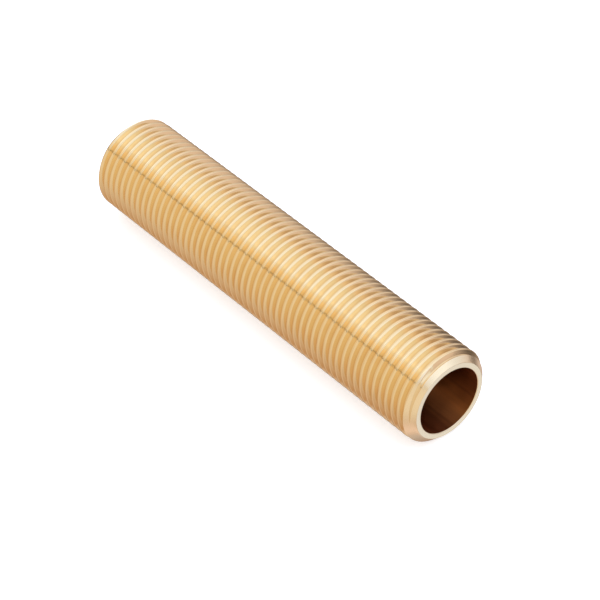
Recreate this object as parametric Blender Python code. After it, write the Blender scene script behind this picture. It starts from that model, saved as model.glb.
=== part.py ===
"""Pipe nipple, G 1/2 by 100 mm: one piece of brass tube with a right-hand male thread from end to end.

Lengths are in metres. The bore lies along X, the origin is the middle of the bore, and +Z is up.
Run it with: blender --background --python part.py
"""

import math

import bmesh
import bpy

# Driving dimensions
LENGTH = 0.100
MAJOR_DIAMETER = 0.0207  # over the crests
PITCH = 0.0254 / 14  # 14 threads per inch
THREAD_ANGLE = math.radians(55)  # between the two flanks of a groove
FULL_DEPTH_PER_PITCH = 0.640327  # from crest to root, in the full Whitworth form
CREST_CUT = 0.0001275  # taken off the full form's crests; without it the thread is 20.955 mm over them
THREAD_OFFSET = -0.00018  # along the top, from the nipple's middle to the middle of a root
BORE_DIAMETER = 0.0147
END_RING_WIDTH = 0.00115  # of the flat face at each end, from the bore to the chamfer
CHAMFER_ANGLE = math.radians(45)  # between the chamfer and the axis

# Facets round the axis
THREAD_FACETS = 20
BLANK_FACETS = 40

# Spare material that the trimming takes off
SPARE_TURNS = 2  # of rod past each end face
SPARE_RADIUS = 0.001  # of blank outside the crests
WELD_DISTANCE = 1e-6

# Derived sizes
CREST_RADIUS = MAJOR_DIAMETER / 2
FULL_DEPTH = FULL_DEPTH_PER_PITCH * PITCH
ROOT_RADIUS = CREST_RADIUS + CREST_CUT - FULL_DEPTH
BORE_RADIUS = BORE_DIAMETER / 2
FACE_RADIUS = BORE_RADIUS + END_RING_WIDTH

BRASS = {"Base Color": (0.84, 0.60, 0.30, 1.0), "Metallic": 1.0, "Roughness": 0.2}
AXIS = (1, 0, 0)


def clear_scene():
    for obj in list(bpy.data.objects):
        bpy.data.objects.remove(obj)


def brass_material():
    material = bpy.data.materials.new("brass")
    material.use_nodes = True
    shader = material.node_tree.nodes["Principled BSDF"]
    for socket, value in BRASS.items():
        shader.inputs[socket].default_value = value
    return material


def add_line(bm, points, closed=False):
    """Adds (x, radius) points as a line above the axis, and returns its vertices and edges."""
    verts = [bm.verts.new((x, 0, radius)) for x, radius in points]
    ends = verts[1:] + verts[:1] if closed else verts[1:]
    return verts + [bm.edges.new(pair) for pair in zip(verts, ends)]


def object_from(bm, name):
    bmesh.ops.recalc_face_normals(bm, faces=bm.faces)
    mesh = bpy.data.meshes.new(name)
    bm.to_mesh(mesh)
    bm.free()
    mesh.shade_smooth()
    mesh.set_sharp_from_angle(angle=math.radians(30))
    obj = bpy.data.objects.new(name, mesh)
    bpy.context.scene.collection.objects.link(obj)
    return obj


def thread_profile(root_middle):
    """One pitch of the thread, from a root to the next. Its crests are cut flat, and a flat stands for a round root."""
    slope = math.tan(THREAD_ANGLE / 2)
    root_flat = PITCH / 2 - FULL_DEPTH * slope
    flank = (CREST_RADIUS - ROOT_RADIUS) * slope
    start = root_middle - root_flat / 2
    return [
        (start, ROOT_RADIUS),
        (start + root_flat, ROOT_RADIUS),
        (start + root_flat + flank, CREST_RADIUS),
        (start + PITCH - flank, CREST_RADIUS),
        (start + PITCH, ROOT_RADIUS),
    ]


def threaded_rod(name):
    """A solid rod with a right-hand thread, longer than the nipple. Each turn is welded to the one before it."""
    turns_to_end = math.ceil(LENGTH / 2 / PITCH) + SPARE_TURNS
    steps = 2 * turns_to_end * THREAD_FACETS
    # The spin starts half a facet round from the top, so that a flat and not a corner faces down
    half_facet = 0.5 / THREAD_FACETS
    start = THREAD_OFFSET + (half_facet - turns_to_end) * PITCH
    # The facets' middles are at the true radius, and their corners stand out
    corner = 1 / math.cos(math.pi / THREAD_FACETS)
    profile = [(x, radius * corner) for x, radius in thread_profile(start)]
    bm = bmesh.new()
    bmesh.ops.spin(
        bm,
        geom=add_line(bm, profile),
        cent=(0, 0, 0),
        axis=AXIS,
        dvec=(PITCH / THREAD_FACETS, 0, 0),
        angle=2 * turns_to_end * math.tau,
        steps=steps,
    )
    bmesh.ops.remove_doubles(bm, verts=bm.verts, dist=WELD_DISTANCE)
    caps = bmesh.ops.holes_fill(bm, edges=bm.edges)["faces"]
    bmesh.ops.poke(bm, faces=caps)
    rod = object_from(bm, name)
    rod.rotation_euler.x = half_facet * math.tau
    return rod


def turned_blank(name):
    """The tube before threading: its bore, end faces and chamfers. Between the chamfers it is wider than the crests."""
    end = LENGTH / 2
    outside = CREST_RADIUS + SPARE_RADIUS
    chamfer = (outside - FACE_RADIUS) / math.tan(CHAMFER_ANGLE)
    outline = [
        (-end, BORE_RADIUS),
        (-end, FACE_RADIUS),
        (-end + chamfer, outside),
        (end - chamfer, outside),
        (end, FACE_RADIUS),
        (end, BORE_RADIUS),
    ]
    bm = bmesh.new()
    bmesh.ops.spin(
        bm,
        geom=add_line(bm, outline, closed=True),
        cent=(0, 0, 0),
        axis=AXIS,
        angle=math.tau,
        steps=BLANK_FACETS,
        use_merge=True,
    )
    blank = object_from(bm, name)
    # Half a facet round, so that its corners lie clear of the thread's
    blank.rotation_euler.x = math.pi / BLANK_FACETS
    blank.hide_render = True
    blank.display_type = "WIRE"
    return blank


def threaded_nipple():
    """What the threaded rod and the turned blank have in common."""
    nipple = threaded_rod("threaded_nipple")
    trim = nipple.modifiers.new("turned_blank", "BOOLEAN")
    trim.operation = "INTERSECT"
    trim.object = turned_blank("turned_blank")
    nipple.data.materials.append(brass_material())
    return nipple


def main():
    clear_scene()
    threaded_nipple()


main()
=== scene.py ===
"""The looks of a brass pipe nipple, threaded from end to end, on a pale floor. Lengths are in metres."""

import math
from collections import namedtuple

import bmesh
import bpy
from mathutils import Matrix, Vector


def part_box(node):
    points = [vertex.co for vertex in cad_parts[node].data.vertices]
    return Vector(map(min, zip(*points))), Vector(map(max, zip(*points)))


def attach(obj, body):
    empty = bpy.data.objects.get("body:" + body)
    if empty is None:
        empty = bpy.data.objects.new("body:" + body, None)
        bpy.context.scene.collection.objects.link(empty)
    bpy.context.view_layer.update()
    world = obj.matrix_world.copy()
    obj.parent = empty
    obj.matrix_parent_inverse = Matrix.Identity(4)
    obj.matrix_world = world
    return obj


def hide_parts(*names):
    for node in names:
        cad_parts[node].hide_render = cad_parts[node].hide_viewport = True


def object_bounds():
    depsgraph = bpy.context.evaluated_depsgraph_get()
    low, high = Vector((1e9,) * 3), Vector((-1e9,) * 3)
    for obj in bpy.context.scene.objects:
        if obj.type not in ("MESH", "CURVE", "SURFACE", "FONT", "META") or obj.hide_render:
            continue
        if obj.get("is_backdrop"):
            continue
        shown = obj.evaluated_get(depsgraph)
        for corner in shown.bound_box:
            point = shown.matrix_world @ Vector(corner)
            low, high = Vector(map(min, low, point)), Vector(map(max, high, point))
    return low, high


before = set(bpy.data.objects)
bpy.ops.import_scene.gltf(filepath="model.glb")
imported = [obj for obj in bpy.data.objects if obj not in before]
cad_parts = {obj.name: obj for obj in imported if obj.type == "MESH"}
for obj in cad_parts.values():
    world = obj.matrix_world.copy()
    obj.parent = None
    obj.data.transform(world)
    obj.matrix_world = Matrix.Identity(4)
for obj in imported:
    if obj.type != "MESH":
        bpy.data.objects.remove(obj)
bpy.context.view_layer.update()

# The nipple's sizes, from the frame
CAD_NODE = "threaded_nipple"
CAD_POINTS = [vertex.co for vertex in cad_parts[CAD_NODE].data.vertices]
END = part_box(CAD_NODE)[1].x
CREST_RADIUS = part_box(CAD_NODE)[1].z
BORE_RADIUS = min(math.hypot(p.y, p.z) for p in CAD_POINTS)
ON_THE_END = 1e-6  # how near to the end a point of its face is, for rounding
FACE_RADIUS = max(math.hypot(p.y, p.z) for p in CAD_POINTS if p.x > END - ON_THE_END)

# The Whitworth thread form, whose depth and rounding are fixed shares of the pitch, with its crests cut flat
PITCH = 0.0254 / 14
HALF_ANGLE = math.radians(27.5)
CREST_CUT = 0.0001275  # taken off the full form's crests
DEPTH = 0.640327 * PITCH - CREST_CUT
ROOT_ROUNDING = 0.137329 * PITCH
CREST_EDGE = 0.00025  # radius of the rounded edges of a flat crest
THREAD_OFFSET = -0.00018  # along the top, from the nipple's middle to the middle of a root

# The ends
CHAMFER_ANGLE = math.radians(45)
EDGE_BREAK = 0.00012  # radius of the rounded edges of the end face

# Fineness of the mesh
COLUMNS = 108
ROOT_STEPS = 3
CREST_EDGE_STEPS = 3
FACE_EDGE_STEPS = 3
BORE_STEPS = 12
SPARE_TURNS = 2  # of thread past each end, from which the ends are cut
SHARP_ANGLE = math.radians(35)

# Finishes, in the order of the piece's material slots
THREAD, TURNED, BORE = range(3)

# Labels of points along a line round the nipple's wall. The thread's own stay far below these
INSIDE_LABEL = 1_000_000
CLOSING_LABEL = 2 * INSIDE_LABEL


# The nipple's surface


def arc(centre, radius, start, stop, steps):
    """Points (x, radius) on an arc. Its angles run from the radial direction towards +X."""
    angles = [start + (stop - start) * i / steps for i in range(steps + 1)]
    return [(centre[0] + radius * math.sin(a), centre[1] + radius * math.cos(a)) for a in angles]


def thread_form():
    """One pitch of the thread, from the middle of a round root to the next, over a flat crest."""
    lean = math.pi / 2 - HALF_ANGLE
    root = CREST_RADIUS - DEPTH + ROOT_ROUNDING
    sharp_root = root - ROOT_ROUNDING / math.sin(HALF_ANGLE)
    flank = (CREST_RADIUS - sharp_root) * math.tan(HALF_ANGLE)
    edge = flank + CREST_EDGE * math.tan(lean / 2)
    rise = arc((0, root), ROOT_ROUNDING, math.pi, math.pi - lean, ROOT_STEPS)
    near_edge = arc((edge, CREST_RADIUS - CREST_EDGE), CREST_EDGE, -lean, 0, CREST_EDGE_STEPS)
    far_edge = arc((PITCH - edge, CREST_RADIUS - CREST_EDGE), CREST_EDGE, 0, lean, CREST_EDGE_STEPS)
    fall = arc((PITCH, root), ROOT_ROUNDING, math.pi + lean, math.pi, ROOT_STEPS)
    return rise + near_edge + far_edge + fall[:-1]


def cone_radius(x):
    """Radius of the nearer end's chamfer cone at x."""
    return FACE_RADIUS + (END - abs(x)) * math.tan(CHAMFER_ANGLE)


def cone_crossing(here, after):
    """Where the line between two thread points meets the chamfer cone."""
    above = [radius - cone_radius(x) for x, radius in (here, after)]
    share = above[0] / (above[0] - above[1])
    return tuple(a + (b - a) * share for a, b in zip(here, after))


def outside_line(turn, form):
    """The nipple's outside at one angle, from left to right, as (label, (x, radius), finish).

    Whole labels count the thread's points along its turns, and half ones are where thread and cone cross. A
    point that the chamfer cuts away drops onto the cone, so that neighbouring lines keep the same labels.
    """
    reach = (math.ceil(END / PITCH) + SPARE_TURNS) * len(form)
    thread = []
    for label in range(-reach, reach):
        whole, step = divmod(label, len(form))
        x = THREAD_OFFSET + (turn + whole) * PITCH + form[step][0]
        if abs(x) < END - EDGE_BREAK:
            thread.append((label, (x, form[step][1])))
    line = []
    for number, (label, (x, radius)) in enumerate(thread):
        is_cut = radius > cone_radius(x)
        line.append((label, (x, min(radius, cone_radius(x))), TURNED if is_cut else THREAD))
        if number + 1 < len(thread):
            after = thread[number + 1][1]
            if is_cut != (after[1] > cone_radius(after[0])):
                line.append((label + 0.5, cone_crossing((x, radius), after), TURNED))
    return line


def right_end():
    """Points from the chamfer over the end face into the bore, as (point, finish). Both edges are rounded."""
    x = END - EDGE_BREAK
    outer = (x, FACE_RADIUS - EDGE_BREAK * math.tan(CHAMFER_ANGLE / 2))
    inner = (x, BORE_RADIUS + EDGE_BREAK)
    line = arc(outer, EDGE_BREAK, CHAMFER_ANGLE, math.pi / 2, FACE_EDGE_STEPS)
    line += arc(inner, EDGE_BREAK, math.pi / 2, math.pi, FACE_EDGE_STEPS)
    return [(point, TURNED) for point in line[:-1]] + [(line[-1], BORE)]


def inside_line():
    """Points from the right chamfer through the bore to the left one, the same at every angle."""
    right = right_end()
    left = [((-x, radius), finish) for (x, radius), finish in reversed(right)]
    reach = END - EDGE_BREAK
    bore = [((reach - 2 * reach * i / BORE_STEPS, BORE_RADIUS), BORE) for i in range(1, BORE_STEPS)]
    return [(INSIDE_LABEL + i, *entry) for i, entry in enumerate(right + bore + left)]


def strip(near, far):
    """Faces between two lines of (label, vertex, finish), with four corners where their labels agree."""
    faces = []
    i = j = 0
    while i + 1 < len(near) or j + 1 < len(far):
        near_label = near[i + 1][0] if i + 1 < len(near) else math.inf
        far_label = far[j + 1][0] if j + 1 < len(far) else math.inf
        if near_label == far_label:
            faces += split_at_chamfer([near[i], near[i + 1], far[j + 1], far[j]])
        elif near_label < far_label:
            faces.append([near[i], near[i + 1], far[j]])
        else:
            faces.append([near[i], far[j + 1], far[j]])
        i += near_label <= far_label
        j += far_label <= near_label
    return faces


def split_at_chamfer(corners):
    """Cuts a four-cornered face that has one corner on the thread and three on the chamfer, along its edge."""
    on_thread = [i for i, (label, vertex, finish) in enumerate(corners) if finish == THREAD]
    if len(on_thread) != 1:
        return [corners]
    first = on_thread[0]
    a, b, c, d = corners[first:] + corners[:first]
    return [[a, b, d], [b, c, d]]


def finish_of(face):
    """The first of the corners' finishes, so that a face with any corner on the thread is the thread's."""
    return min(finish for label, vertex, finish in face)


def nipple_mesh():
    """Lines along the nipple at even turns round it, joined by strips of faces."""
    form = thread_form()
    inside = inside_line()
    points, lines = [], []
    for column in range(COLUMNS):
        turn = column / COLUMNS
        line = []
        for label, (x, radius), finish in outside_line(turn, form) + inside:
            line.append((label, len(points), finish))
            points.append((x, -radius * math.sin(turn * math.tau), radius * math.cos(turn * math.tau)))
        lines.append(line + [(CLOSING_LABEL, line[0][1], line[0][2])])
    # A full turn on, the thread's labels are one pitch further
    first = [(label - len(form) if label < INSIDE_LABEL else label, *rest) for label, *rest in lines[0]]
    faces = [face for near, far in zip(lines, lines[1:] + [first]) for face in strip(near, far)]
    mesh = bpy.data.meshes.new("brass_nipple")
    mesh.from_pydata(points, [], [[vertex for label, vertex, finish in face] for face in faces])
    mesh.polygons.foreach_set("material_index", [finish_of(face) for face in faces])
    return mesh


def build_nipple():
    mesh = nipple_mesh()
    bm = bmesh.new()
    bm.from_mesh(mesh)
    bmesh.ops.recalc_face_normals(bm, faces=bm.faces)
    bm.to_mesh(mesh)
    bm.free()
    mesh.shade_smooth()
    mesh.set_sharp_from_angle(angle=SHARP_ANGLE)
    sharpen_between_finishes(mesh)
    nipple = bpy.data.objects.new("brass_nipple", mesh)
    bpy.context.scene.collection.objects.link(nipple)
    # Keeps the flanks flat beside the rounded crests and roots
    nipple.modifiers.new("weighted_normals", "WEIGHTED_NORMAL").keep_sharp = True
    for material in (thread_brass(), turned_brass(), bore_brass()):
        mesh.materials.append(material)
    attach(nipple, "root")
    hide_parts(CAD_NODE)


def sharpen_between_finishes(mesh):
    """Marks as sharp the edges where one finish meets another."""
    bm = bmesh.new()
    bm.from_mesh(mesh)
    for edge in bm.edges:
        if len({face.material_index for face in edge.link_faces}) > 1:
            edge.smooth = False
    bm.to_mesh(mesh)
    bm.free()


# Materials

BRASS = (0.92, 0.77, 0.52, 1.0)
# The tone of random patches, and also the colour of the painted shade in the thread's roots
TARNISH_AND_ROOT_SHADE = (0.77, 0.56, 0.32, 1.0)
TURNED_BRASS = (0.97, 0.86, 0.67, 1.0)
# The bore's dark brass is painted shade in the hole, and its paler colour is a painted highlight streak
SHADED_BORE_BRASS = (0.26, 0.08, 0.03, 1.0)
BORE_HIGHLIGHT_BRASS = (0.66, 0.25, 0.08, 1.0)

# The painted highlight streak in the bore, by the angle round the axis in degrees: -90 below, 0 in front and 90
# above
HIGHLIGHT_STREAK_ANGLE = -128
HIGHLIGHT_STREAK_HALF_WIDTH = 22
HIGHLIGHT_STREAK_REACH = 1.6  # half widths from its middle to where it has faded out
HIGHLIGHT_SHARE_ELSEWHERE = 0.05

# Between root and crest, the height where the painted shade in the roots ends, and the share of unshaded brass
# in the root
ROOT_SHADE_TOP = 0.45
ROOT_UNSHADED_SHARE = 0.52

# How fast the bore's drawn marks change along it, against how fast they change across
DRAWN_PACE = 0.05

# Noise mostly keeps between these values
NOISE_LOW = 0.3
NOISE_HIGH = 0.7


class Nodes:
    """Adds shader nodes to a material's or a world's tree."""

    def __init__(self, tree):
        self.tree = tree

    def add(self, kind, *inputs, **properties):
        """A node with its first inputs set, each to a number, a colour or another node's output."""
        node = self.tree.nodes.new("ShaderNode" + kind)
        for name, value in properties.items():
            setattr(node, name, value)
        for socket, value in zip([socket for socket in node.inputs if socket.enabled], inputs):
            self.set(socket, value)
        return node

    def set(self, socket, value):
        if isinstance(value, bpy.types.NodeSocket):
            self.tree.links.new(value, socket)
        else:
            socket.default_value = value

    def math(self, operation, *inputs):
        return self.add("Math", *inputs, operation=operation).outputs[0]

    def noise(self, place, scale):
        node = self.add("TexNoise", place)
        node.inputs["Scale"].default_value = scale
        return node.outputs["Fac"]

    def turning_marks(self, radius, scale):
        """Fine rings, as noise that changes with the radius only."""
        node = self.add("TexNoise", noise_dimensions="1D")
        self.set(node.inputs["W"], radius)
        node.inputs["Scale"].default_value = scale
        node.inputs["Detail"].default_value = 3
        return node.outputs["Fac"]

    def spread(self, value, low, high, to_low, to_high):
        """Turns the range from low to high into another one, and stops at its ends."""
        return self.add("MapRange", value, low, high, to_low, to_high).outputs["Result"]

    def vary(self, noise, least, most):
        """Noise as a number from least to most."""
        return self.spread(noise, NOISE_LOW, NOISE_HIGH, least, most)

    def blend(self, share, first, second):
        return self.add("Mix", share, first, second, data_type="RGBA").outputs["Result"]

    def bump(self, height, distance):
        node = self.add("Bump")
        node.inputs["Distance"].default_value = distance
        self.set(node.inputs["Height"], height)
        return node.outputs["Normal"]

    def round_x(self, place):
        """The x of a place or direction, and its angle round the X axis, 0 in front and growing upwards."""
        x, y, z = self.add("SeparateXYZ", place).outputs
        return x, self.math("ARCTAN2", z, self.math("MULTIPLY", y, -1.0))

    def away_from(self, value, middle, half_width):
        """How far a number is from a given one, in half widths."""
        offset = self.math("ABSOLUTE", self.math("SUBTRACT", value, middle))
        return self.math("DIVIDE", offset, half_width)


def metal(name):
    """A new metal material, with its nodes and its shader's inputs."""
    material = bpy.data.materials.new(name)
    material.use_nodes = True
    inputs = material.node_tree.nodes["Principled BSDF"].inputs
    inputs["Metallic"].default_value = 1.0
    return material, Nodes(material.node_tree), inputs


def place_and_radius(nodes):
    """The place on the nipple, and how far it is from the axis."""
    place = nodes.add("TexCoord").outputs["Object"]
    across = nodes.add("VectorMath", place, (0, 1, 1), operation="MULTIPLY").outputs["Vector"]
    return place, nodes.add("VectorMath", across, operation="LENGTH").outputs["Value"]


def thread_brass():
    """Bright, with roots darkened by painted shade, broad patches and fine turning marks."""
    material, nodes, inputs = metal("thread_brass")
    place, radius = place_and_radius(nodes)
    height = nodes.spread(radius, CREST_RADIUS - DEPTH, CREST_RADIUS, 0, 1)
    # Painted shade: the roots are darkened towards the tarnish colour
    unshaded = nodes.spread(height, 0, ROOT_SHADE_TOP, ROOT_UNSHADED_SHARE, 1)
    patches = nodes.vary(nodes.noise(place, scale=220), least=-0.15, most=0.15)
    roughness = nodes.vary(nodes.noise(place, scale=900), least=0.06, most=0.10)
    nodes.set(inputs["Base Color"], nodes.blend(nodes.math("ADD", unshaded, patches), TARNISH_AND_ROOT_SHADE, BRASS))
    nodes.set(inputs["Roughness"], roughness)
    nodes.set(inputs["Normal"], nodes.bump(nodes.turning_marks(radius, scale=30000), distance=2e-6))
    return material


def turned_brass():
    """The end faces and chamfers: paler and rougher than the thread, with turning marks."""
    material, nodes, inputs = metal("turned_brass")
    place, radius = place_and_radius(nodes)
    noise = nodes.noise(place, scale=300)
    nodes.set(inputs["Base Color"], nodes.blend(nodes.vary(noise, least=0.9, most=1), TARNISH_AND_ROOT_SHADE, TURNED_BRASS))
    nodes.set(inputs["Roughness"], nodes.vary(noise, least=0.2, most=0.26))
    nodes.set(inputs["Normal"], nodes.bump(nodes.turning_marks(radius, scale=20000), distance=3e-6))
    return material


def bore_brass():
    """Darkened as painted shade in the hole, with marks and one painted highlight streak along the axis. It is
    rougher along the bore than round it.
    """
    material, nodes, inputs = metal("bore_brass")
    place = nodes.add("TexCoord").outputs["Object"]
    angle = nodes.round_x(place)[1]
    # A painted highlight streak at one angle round the bore
    highlight_offset = nodes.away_from(angle, math.radians(HIGHLIGHT_STREAK_ANGLE), math.radians(HIGHLIGHT_STREAK_HALF_WIDTH))
    stretched = nodes.add("VectorMath", place, (DRAWN_PACE, 1, 1), operation="MULTIPLY").outputs["Vector"]
    drawn = nodes.vary(nodes.noise(stretched, scale=900), least=-0.15, most=0.15)
    highlight_share = nodes.spread(highlight_offset, 0, HIGHLIGHT_STREAK_REACH, 1, HIGHLIGHT_SHARE_ELSEWHERE)
    # Painted shade darkens the bore everywhere but in the painted highlight streak, and the drawn marks vary it
    nodes.set(inputs["Base Color"], nodes.blend(nodes.math("ADD", highlight_share, drawn), SHADED_BORE_BRASS, BORE_HIGHLIGHT_BRASS))
    nodes.set(inputs["Roughness"], nodes.vary(nodes.noise(place, scale=300), least=0.4, most=0.5))
    nodes.set(inputs["Tangent"], nodes.add("Tangent", direction_type="RADIAL", axis="X").outputs["Tangent"])
    inputs["Anisotropic"].default_value = 0.8
    inputs["Anisotropic Rotation"].default_value = 0.25
    return material


# The studio

# The camera, by its direction and distance from the nipple. Its lens and sensor are in millimetres
CAMERA_AZIMUTH = math.radians(50)
CAMERA_ELEVATION = math.radians(40.1)
CAMERA_DISTANCE = 0.54
AIM_RIGHT = 0.0036
AIM_DOWN = 0.0054
LENS = 160.5
SENSOR_WIDTH = 36

# The floor, the backdrop, and a lamp that whitens the floor
FLOOR_WHITE = (0.84, 0.89, 0.98, 1.0)
FLOOR_GLOW = 0.6
FLOOR_HALF_WIDTH = 3.0
BACKDROP_RADIUS = 2.5
BACKDROP_WHITE = (1.0, 1.0, 1.0, 1.0)
BACKDROP_GLOW = 1.0
STAGE_ROUGHNESS = 0.9
FLOOR_LAMP_POWER = 4.0
FLOOR_LAMP_SIZE = 2.5
FLOOR_LAMP_HEIGHT = 1.5


def make_camera():
    """Looks a little to the right of the nipple's middle and below it, as the photo does."""
    level = math.cos(CAMERA_ELEVATION)
    back = Vector((
        math.sin(CAMERA_AZIMUTH) * level,
        -math.cos(CAMERA_AZIMUTH) * level,
        math.sin(CAMERA_ELEVATION),
    ))
    right = Vector((math.cos(CAMERA_AZIMUTH), math.sin(CAMERA_AZIMUTH), 0))
    up = back.cross(right)
    camera = bpy.data.objects.new("camera", bpy.data.cameras.new("camera"))
    bpy.context.scene.collection.objects.link(camera)
    camera.data.lens = LENS
    camera.data.sensor_width = SENSOR_WIDTH
    place = AIM_RIGHT * right - AIM_DOWN * up + CAMERA_DISTANCE * back
    camera.matrix_world = Matrix.Translation(place) @ Matrix((right, up, back)).transposed().to_4x4()
    bpy.context.scene.camera = camera


def stage_piece(name, bm, colour, glow):
    """A piece of the stage that the brass doesn't show."""
    mesh = bpy.data.meshes.new(name)
    bm.to_mesh(mesh)
    bm.free()
    piece = bpy.data.objects.new(name, mesh)
    bpy.context.scene.collection.objects.link(piece)
    piece.visible_glossy = False
    material = bpy.data.materials.new(name)
    material.use_nodes = True
    inputs = material.node_tree.nodes["Principled BSDF"].inputs
    inputs["Base Color"].default_value = colour
    inputs["Emission Color"].default_value = colour
    inputs["Emission Strength"].default_value = glow
    inputs["Roughness"].default_value = STAGE_ROUGHNESS
    mesh.materials.append(material)
    piece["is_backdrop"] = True
    return piece


def make_floor():
    """A pale floor that the lowest crests touch."""
    bm = bmesh.new()
    bmesh.ops.create_grid(bm, x_segments=1, y_segments=1, size=FLOOR_HALF_WIDTH)
    floor = stage_piece("floor", bm, FLOOR_WHITE, FLOOR_GLOW)
    floor.location.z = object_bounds()[0].z


def make_backdrop():
    """A white shell that only the camera sees, in front of the dome of light."""
    bm = bmesh.new()
    bmesh.ops.create_icosphere(bm, subdivisions=4, radius=BACKDROP_RADIUS)
    backdrop = stage_piece("backdrop", bm, BACKDROP_WHITE, BACKDROP_GLOW)
    backdrop.visible_diffuse = False
    backdrop.visible_transmission = False
    backdrop.visible_shadow = False


def make_floor_lamp():
    """A large lamp overhead that whitens the floor. The brass doesn't show it."""
    data = bpy.data.lights.new("floor_lamp", "AREA")
    data.shape = "DISK"
    data.size = FLOOR_LAMP_SIZE
    data.energy = FLOOR_LAMP_POWER
    lamp = bpy.data.objects.new("floor_lamp", data)
    bpy.context.scene.collection.objects.link(lamp)
    lamp.location.z = FLOOR_LAMP_HEIGHT
    lamp.visible_glossy = False
    lamp.visible_camera = False


# Tints of the light
WHITE = (1.0, 1.0, 1.0)
CREAM = (1.15, 1.0, 0.90)
DUSKY = (1.26, 1.0, 0.88)
SUNNY = (1.20, 1.0, 0.72)
WARM = (1.33, 1.0, 0.71)
GLOWING = (1.75, 1.0, 0.53)

# The dome's light, as (angle, level, tint). The angle goes round the nipple: -90 degrees is below it, 0 in
# front, 90 above and 180 behind
LEFT_LIGHT = [
    (-180, 0.56, CREAM),
    (-170, 0.46, CREAM),
    (-160, 0.38, CREAM),
    (-148, 0.52, CREAM),
    (-132, 0.16, DUSKY),
    (-110, 0.15, DUSKY),
    (-97, 0.20, GLOWING),
    (-75, 0.36, GLOWING),
    (-45, 0.55, WARM),
    (0, 0.67, SUNNY),
    (45, 0.80, SUNNY),
    (52, 0.90, SUNNY),
    (62, 1.02, WHITE),
    (68, 1.23, WHITE),
    (76, 1.12, WHITE),
    (96, 1.04, WHITE),
    (112, 0.98, WHITE),
    (130, 0.94, CREAM),
    (155, 0.86, CREAM),
    (180, 0.56, CREAM),
]
MIDDLE_LIGHT = [
    (-180, 0.40, DUSKY),
    (-165, 0.25, DUSKY),
    (-150, 0.55, DUSKY),
    (-95, 0.20, GLOWING),
    (-60, 0.49, WARM),
    (-30, 0.60, WARM),
    (0, 0.73, SUNNY),
    (45, 0.82, SUNNY),
    (52, 0.93, SUNNY),
    (62, 1.08, WHITE),
    (70, 1.20, WHITE),
    (96, 1.11, WHITE),
    (110, 0.95, WHITE),
    (122, 0.80, CREAM),
    (140, 0.50, DUSKY),
    (158, 0.42, DUSKY),
    (170, 0.60, DUSKY),
    (180, 0.40, DUSKY),
]
RIGHT_LIGHT = [
    (-180, 0.64, DUSKY),
    (-176, 0.64, DUSKY),
    (-172, 0.56, DUSKY),
    (-169, 0.33, DUSKY),
    (-166, 0.08, DUSKY),
    (-154, 0.04, DUSKY),
    (-147, 0.40, DUSKY),
    (-138, 0.82, WHITE),
    (-112, 0.82, WHITE),
    (-88, 0.32, GLOWING),
    (-60, 0.52, WARM),
    (-30, 0.70, SUNNY),
    (0, 0.74, SUNNY),
    (50, 0.70, SUNNY),
    (66, 0.88, WHITE),
    (96, 1.03, WHITE),
    (130, 1.12, WHITE),
    (155, 0.84, WHITE),
    (170, 0.70, CREAM),
    (180, 0.64, DUSKY),
]

# Where each set of stops is seen, as the x of a direction
LEFT_X, MIDDLE_X, RIGHT_X = -0.6, -0.28, 0.42

# The right set's angles lean by this many degrees over a unit of x, and are upright at the given x
RIGHT_LEAN = 40
RIGHT_LEAN_FROM_X = 0.5

# A dark gap in the light, between the front and the softbox above, in degrees
GAP_ANGLE = 38.5
GAP_HALF_WIDTH = 1.3
GAP_DEPTH = 0.6

# Two cards in the dome. Widths are in x, and angles and heights in degrees
Card = namedtuple("Card", "x half_width angle half_height colour")
PALE_CARD = Card(x=0.28, half_width=0.13, angle=-70, half_height=24, colour=(0.90, 0.68, 0.55, 1.0))
DARK_CARD = Card(x=0.08, half_width=0.13, angle=-172, half_height=14, colour=(0.20, 0.16, 0.13, 1.0))

# The gap and the cards are even up to the first of these, in half widths, and end at the second
SOFT_EDGE = (0.5, 1.5)


def ramp(nodes, angle, stops):
    """The light at an angle, from one set of stops."""
    node = nodes.add("ValToRGB", nodes.spread(angle, -math.pi, math.pi, 0, 1))
    elements = node.color_ramp.elements
    while len(elements) < len(stops):
        elements.new(1.0)
    for element, (degrees, level, tint) in zip(elements, stops):
        element.position = (degrees + 180) / 360
        element.color = [level * channel for channel in tint] + [1.0]
    return node.outputs["Color"]


def card_share(nodes, x, angle, card):
    """1 on a card in the dome, and 0 away from it."""
    across = nodes.away_from(x, card.x, card.half_width)
    height = nodes.away_from(angle, math.radians(card.angle), math.radians(card.half_height))
    shares = [nodes.spread(distance, *SOFT_EDGE, 1, 0) for distance in (across, height)]
    return nodes.math("MULTIPLY", *shares)


def make_studio_light():
    """A soft dome, brightest above. It has three sets of stops, from the nipple's left end to its right one."""
    world = bpy.data.worlds.new("studio")
    bpy.context.scene.world = world
    world.use_nodes = True
    nodes = Nodes(world.node_tree)
    x, angle = nodes.round_x(nodes.add("TexCoord").outputs["Generated"])
    from_upright = nodes.math("SUBTRACT", x, RIGHT_LEAN_FROM_X)
    lean = nodes.math("MULTIPLY", from_upright, math.radians(RIGHT_LEAN))
    left = ramp(nodes, angle, LEFT_LIGHT)
    middle = ramp(nodes, angle, MIDDLE_LIGHT)
    right = ramp(nodes, nodes.math("ADD", angle, lean), RIGHT_LIGHT)
    light = nodes.blend(nodes.spread(x, LEFT_X, MIDDLE_X, 0, 1), left, middle)
    light = nodes.blend(nodes.spread(x, MIDDLE_X, RIGHT_X, 0, 1), light, right)
    for card in (PALE_CARD, DARK_CARD):
        light = nodes.blend(card_share(nodes, x, angle, card), light, card.colour)
    gap = nodes.away_from(angle, math.radians(GAP_ANGLE), math.radians(GAP_HALF_WIDTH))
    background = world.node_tree.nodes["Background"]
    nodes.set(background.inputs["Color"], light)
    nodes.set(background.inputs["Strength"], nodes.spread(gap, *SOFT_EDGE, 1 - GAP_DEPTH, 1))


make_camera()
build_nipple()
make_floor()
make_backdrop()
make_floor_lamp()
make_studio_light()
bpy.context.scene.view_settings.view_transform = "Standard"
